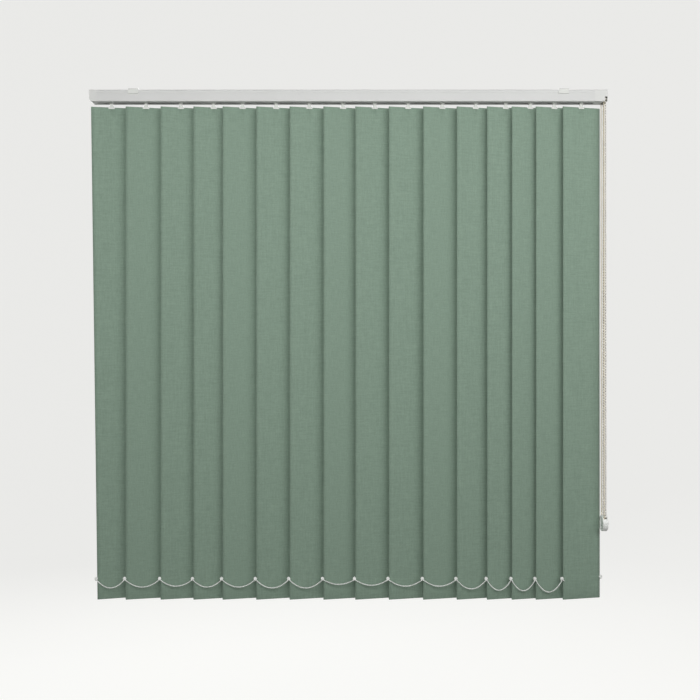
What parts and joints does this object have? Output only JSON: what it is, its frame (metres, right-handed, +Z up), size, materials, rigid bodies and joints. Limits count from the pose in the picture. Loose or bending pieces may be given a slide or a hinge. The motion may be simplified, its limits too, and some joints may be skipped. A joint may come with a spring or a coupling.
{
  "type": "vertical blind",
  "caption": "Ceiling-fixed vertical blind: slotted headrail with hanging fabric louvres, bottom bead chains, and a cord and chain control with a hanging weight.",
  "frame": {"origin": "in the ceiling plane, midway between the screw holes of the two ceiling clips", "axes": "+X along the headrail to the control end, -Y towards the room, +Z up"},
  "size_m": [1.153, 0.036, 1.1368],
  "materials": {
    "rail_paint": "satin white powder coat on extruded aluminium",
    "white_plastic": "moulded white plastic",
    "aluminium": "mill-finished extrusion",
    "louvre_fabric": "sage green woven polyester, stiffened",
    "bead_plastic": "white moulded beads on a thread",
    "cord_braid": "cream braided polyester cord"
  },
  "bodies": {
    "root": {"headrail": "rail_paint", "mounting_brackets": "white_plastic", "control_end_cap": "white_plastic", "idle_end_cap": "white_plastic", "traverse_cord": "cord_braid", "control_chain": "bead_plastic", "cord_weight": "white_plastic", "carrier_16": "white_plastic"},
    "tilt_drive": {"tilt_rod": "aluminium", "chain_wheel": "white_plastic"},
    "pulley": {"return_pulley": "white_plastic"},
    "chain_front": {"bottom_chain_front": "bead_plastic"},
    "chain_back": {"bottom_chain_back": "bead_plastic"},
    "carrier_01": {"carrier_01": "white_plastic"},
    "carrier_02": {"carrier_02": "white_plastic"},
    "carrier_03": {"carrier_03": "white_plastic"},
    "carrier_04": {"carrier_04": "white_plastic"},
    "carrier_05": {"carrier_05": "white_plastic"},
    "carrier_06": {"carrier_06": "white_plastic"},
    "carrier_07": {"carrier_07": "white_plastic"},
    "carrier_08": {"carrier_08": "white_plastic"},
    "carrier_09": {"carrier_09": "white_plastic"},
    "carrier_10": {"carrier_10": "white_plastic"},
    "carrier_11": {"carrier_11": "white_plastic"},
    "carrier_12": {"carrier_12": "white_plastic"},
    "carrier_13": {"carrier_13": "white_plastic"},
    "carrier_14": {"carrier_14": "white_plastic"},
    "carrier_15": {"carrier_15": "white_plastic"},
    "louvre_01": {"louvre_01": "louvre_fabric", "fittings_01": "white_plastic"},
    "louvre_02": {"louvre_02": "louvre_fabric", "fittings_02": "white_plastic"},
    "louvre_03": {"louvre_03": "louvre_fabric", "fittings_03": "white_plastic"},
    "louvre_04": {"louvre_04": "louvre_fabric", "fittings_04": "white_plastic"},
    "louvre_05": {"louvre_05": "louvre_fabric", "fittings_05": "white_plastic"},
    "louvre_06": {"louvre_06": "louvre_fabric", "fittings_06": "white_plastic"},
    "louvre_07": {"louvre_07": "louvre_fabric", "fittings_07": "white_plastic"},
    "louvre_08": {"louvre_08": "louvre_fabric", "fittings_08": "white_plastic"},
    "louvre_09": {"louvre_09": "louvre_fabric", "fittings_09": "white_plastic"},
    "louvre_10": {"louvre_10": "louvre_fabric", "fittings_10": "white_plastic"},
    "louvre_11": {"louvre_11": "louvre_fabric", "fittings_11": "white_plastic"},
    "louvre_12": {"louvre_12": "louvre_fabric", "fittings_12": "white_plastic"},
    "louvre_13": {"louvre_13": "louvre_fabric", "fittings_13": "white_plastic"},
    "louvre_14": {"louvre_14": "louvre_fabric", "fittings_14": "white_plastic"},
    "louvre_15": {"louvre_15": "louvre_fabric", "fittings_15": "white_plastic"},
    "louvre_16": {"louvre_16": "louvre_fabric", "fittings_16": "white_plastic"}
  },
  "joints": [
    {"name": "traverse", "type": "slide", "parent": "root", "child": "carrier_01", "axis": [1, 0, 0], "range_m": [0, 0.7929], "deforming": ["bottom_chain_front", "bottom_chain_back", "traverse_cord"]},
    {"name": "traverse_02", "type": "slide", "parent": "root", "child": "carrier_02", "axis": [1, 0, 0], "range_m": [0, 0.73469]},
    {"name": "traverse_03", "type": "slide", "parent": "root", "child": "carrier_03", "axis": [1, 0, 0], "range_m": [0, 0.67595]},
    {"name": "traverse_04", "type": "slide", "parent": "root", "child": "carrier_04", "axis": [1, 0, 0], "range_m": [0, 0.62076]},
    {"name": "traverse_05", "type": "slide", "parent": "root", "child": "carrier_05", "axis": [1, 0, 0], "range_m": [0, 0.57176]},
    {"name": "traverse_06", "type": "slide", "parent": "root", "child": "carrier_06", "axis": [1, 0, 0], "range_m": [0, 0.51521]},
    {"name": "traverse_07", "type": "slide", "parent": "root", "child": "carrier_07", "axis": [1, 0, 0], "range_m": [0, 0.45912]},
    {"name": "traverse_08", "type": "slide", "parent": "root", "child": "carrier_08", "axis": [1, 0, 0], "range_m": [0, 0.40227]},
    {"name": "traverse_09", "type": "slide", "parent": "root", "child": "carrier_09", "axis": [1, 0, 0], "range_m": [0, 0.34866]},
    {"name": "traverse_10", "type": "slide", "parent": "root", "child": "carrier_10", "axis": [1, 0, 0], "range_m": [0, 0.29234]},
    {"name": "traverse_11", "type": "slide", "parent": "root", "child": "carrier_11", "axis": [1, 0, 0], "range_m": [0, 0.23466]},
    {"name": "traverse_12", "type": "slide", "parent": "root", "child": "carrier_12", "axis": [1, 0, 0], "range_m": [0, 0.17826]},
    {"name": "traverse_13", "type": "slide", "parent": "root", "child": "carrier_13", "axis": [1, 0, 0], "range_m": [0, 0.12745]},
    {"name": "traverse_14", "type": "slide", "parent": "root", "child": "carrier_14", "axis": [1, 0, 0], "range_m": [0, 0.08585]},
    {"name": "traverse_15", "type": "slide", "parent": "root", "child": "carrier_15", "axis": [1, 0, 0], "range_m": [0, 0.04545]},
    {"name": "tilt_01", "type": "hinge", "parent": "carrier_01", "child": "louvre_01", "pos_m": [-0.5297, 0, -0.0383], "axis": [0, 0, 1], "range_deg": [0, 154]},
    {"name": "tilt_02", "type": "hinge", "parent": "carrier_02", "child": "louvre_02", "pos_m": [-0.4526, 0, -0.0383], "axis": [0, 0, 1], "range_deg": [0, 154]},
    {"name": "tilt_03", "type": "hinge", "parent": "carrier_03", "child": "louvre_03", "pos_m": [-0.3748, 0, -0.0383], "axis": [0, 0, 1], "range_deg": [0, 154]},
    {"name": "tilt_04", "type": "hinge", "parent": "carrier_04", "child": "louvre_04", "pos_m": [-0.3017, 0, -0.0383], "axis": [0, 0, 1], "range_deg": [0, 154]},
    {"name": "tilt_05", "type": "hinge", "parent": "carrier_05", "child": "louvre_05", "pos_m": [-0.2368, 0, -0.0383], "axis": [0, 0, 1], "range_deg": [0, 154]},
    {"name": "tilt_06", "type": "hinge", "parent": "carrier_06", "child": "louvre_06", "pos_m": [-0.1619, 0, -0.0383], "axis": [0, 0, 1], "range_deg": [0, 154]},
    {"name": "tilt_07", "type": "hinge", "parent": "carrier_07", "child": "louvre_07", "pos_m": [-0.0876, 0, -0.0383], "axis": [0, 0, 1], "range_deg": [0, 154]},
    {"name": "tilt_08", "type": "hinge", "parent": "carrier_08", "child": "louvre_08", "pos_m": [-0.0123, 0, -0.0383], "axis": [0, 0, 1], "range_deg": [0, 154]},
    {"name": "tilt_09", "type": "hinge", "parent": "carrier_09", "child": "louvre_09", "pos_m": [0.0587, 0, -0.0383], "axis": [0, 0, 1], "range_deg": [0, 154]},
    {"name": "tilt_10", "type": "hinge", "parent": "carrier_10", "child": "louvre_10", "pos_m": [0.1333, 0, -0.0383], "axis": [0, 0, 1], "range_deg": [0, 154]},
    {"name": "tilt_11", "type": "hinge", "parent": "carrier_11", "child": "louvre_11", "pos_m": [0.2097, 0, -0.0383], "axis": [0, 0, 1], "range_deg": [0, 154]},
    {"name": "tilt_12", "type": "hinge", "parent": "carrier_12", "child": "louvre_12", "pos_m": [0.2844, 0, -0.0383], "axis": [0, 0, 1], "range_deg": [0, 154]},
    {"name": "tilt_13", "type": "hinge", "parent": "carrier_13", "child": "louvre_13", "pos_m": [0.3517, 0, -0.0383], "axis": [0, 0, 1], "range_deg": [0, 154]},
    {"name": "tilt_14", "type": "hinge", "parent": "carrier_14", "child": "louvre_14", "pos_m": [0.4068, 0, -0.0383], "axis": [0, 0, 1], "range_deg": [0, 154]},
    {"name": "tilt_15", "type": "hinge", "parent": "carrier_15", "child": "louvre_15", "pos_m": [0.4603, 0, -0.0383], "axis": [0, 0, 1], "range_deg": [0, 154]},
    {"name": "louvre_tilt", "type": "hinge", "parent": "root", "child": "louvre_16", "pos_m": [0.5205, 0, -0.0383], "axis": [0, 0, 1], "range_deg": [0, 154], "deforming": ["control_chain"]},
    {"name": "tilt_rod_turn", "type": "hinge", "parent": "root", "child": "tilt_drive", "pos_m": [0, 0, -0.0155], "axis": [1, 0, 0], "range_deg": [0, 1849]},
    {"name": "return_pulley_turn", "type": "hinge", "parent": "root", "child": "pulley", "pos_m": [-0.5606, 0, -0.015], "axis": [0, 0, 1], "range_deg": [0, 3788]},
    {"name": "chain_front_swing", "type": "hinge", "parent": "louvre_16", "child": "chain_front", "pos_m": [0.4749, -0.01053, -1.0903], "axis": [0, 0, 1], "range_deg": [-154, 0]},
    {"name": "chain_back_swing", "type": "hinge", "parent": "louvre_16", "child": "chain_back", "pos_m": [0.5661, 0.01053, -1.0903], "axis": [0, 0, 1], "range_deg": [-154, 0]}
  ],
  "couplings": [
    {"joint": "traverse_02", "follows": "traverse", "ratio": 0.92658},
    {"joint": "traverse_03", "follows": "traverse", "ratio": 0.8525},
    {"joint": "traverse_04", "follows": "traverse", "ratio": 0.7829},
    {"joint": "traverse_05", "follows": "traverse", "ratio": 0.7211},
    {"joint": "traverse_06", "follows": "traverse", "ratio": 0.64978},
    {"joint": "traverse_07", "follows": "traverse", "ratio": 0.57903},
    {"joint": "traverse_08", "follows": "traverse", "ratio": 0.50733},
    {"joint": "traverse_09", "follows": "traverse", "ratio": 0.43973},
    {"joint": "traverse_10", "follows": "traverse", "ratio": 0.36869},
    {"joint": "traverse_11", "follows": "traverse", "ratio": 0.29594},
    {"joint": "traverse_12", "follows": "traverse", "ratio": 0.22481},
    {"joint": "traverse_13", "follows": "traverse", "ratio": 0.16073},
    {"joint": "traverse_14", "follows": "traverse", "ratio": 0.10827},
    {"joint": "traverse_15", "follows": "traverse", "ratio": 0.057322},
    {"joint": "tilt_01", "follows": "louvre_tilt", "ratio": 1},
    {"joint": "tilt_02", "follows": "louvre_tilt", "ratio": 1},
    {"joint": "tilt_03", "follows": "louvre_tilt", "ratio": 1},
    {"joint": "tilt_04", "follows": "louvre_tilt", "ratio": 1},
    {"joint": "tilt_05", "follows": "louvre_tilt", "ratio": 1},
    {"joint": "tilt_06", "follows": "louvre_tilt", "ratio": 1},
    {"joint": "tilt_07", "follows": "louvre_tilt", "ratio": 1},
    {"joint": "tilt_08", "follows": "louvre_tilt", "ratio": 1},
    {"joint": "tilt_09", "follows": "louvre_tilt", "ratio": 1},
    {"joint": "tilt_10", "follows": "louvre_tilt", "ratio": 1},
    {"joint": "tilt_11", "follows": "louvre_tilt", "ratio": 1},
    {"joint": "tilt_12", "follows": "louvre_tilt", "ratio": 1},
    {"joint": "tilt_13", "follows": "louvre_tilt", "ratio": 1},
    {"joint": "tilt_14", "follows": "louvre_tilt", "ratio": 1},
    {"joint": "tilt_15", "follows": "louvre_tilt", "ratio": 1},
    {"joint": "tilt_rod_turn", "follows": "louvre_tilt", "ratio": 12},
    {"joint": "return_pulley_turn", "follows": "traverse", "rad_per_m": 83.333},
    {"joint": "chain_front_swing", "follows": "louvre_tilt", "ratio": -1},
    {"joint": "chain_back_swing", "follows": "louvre_tilt", "ratio": -1}
  ]
}
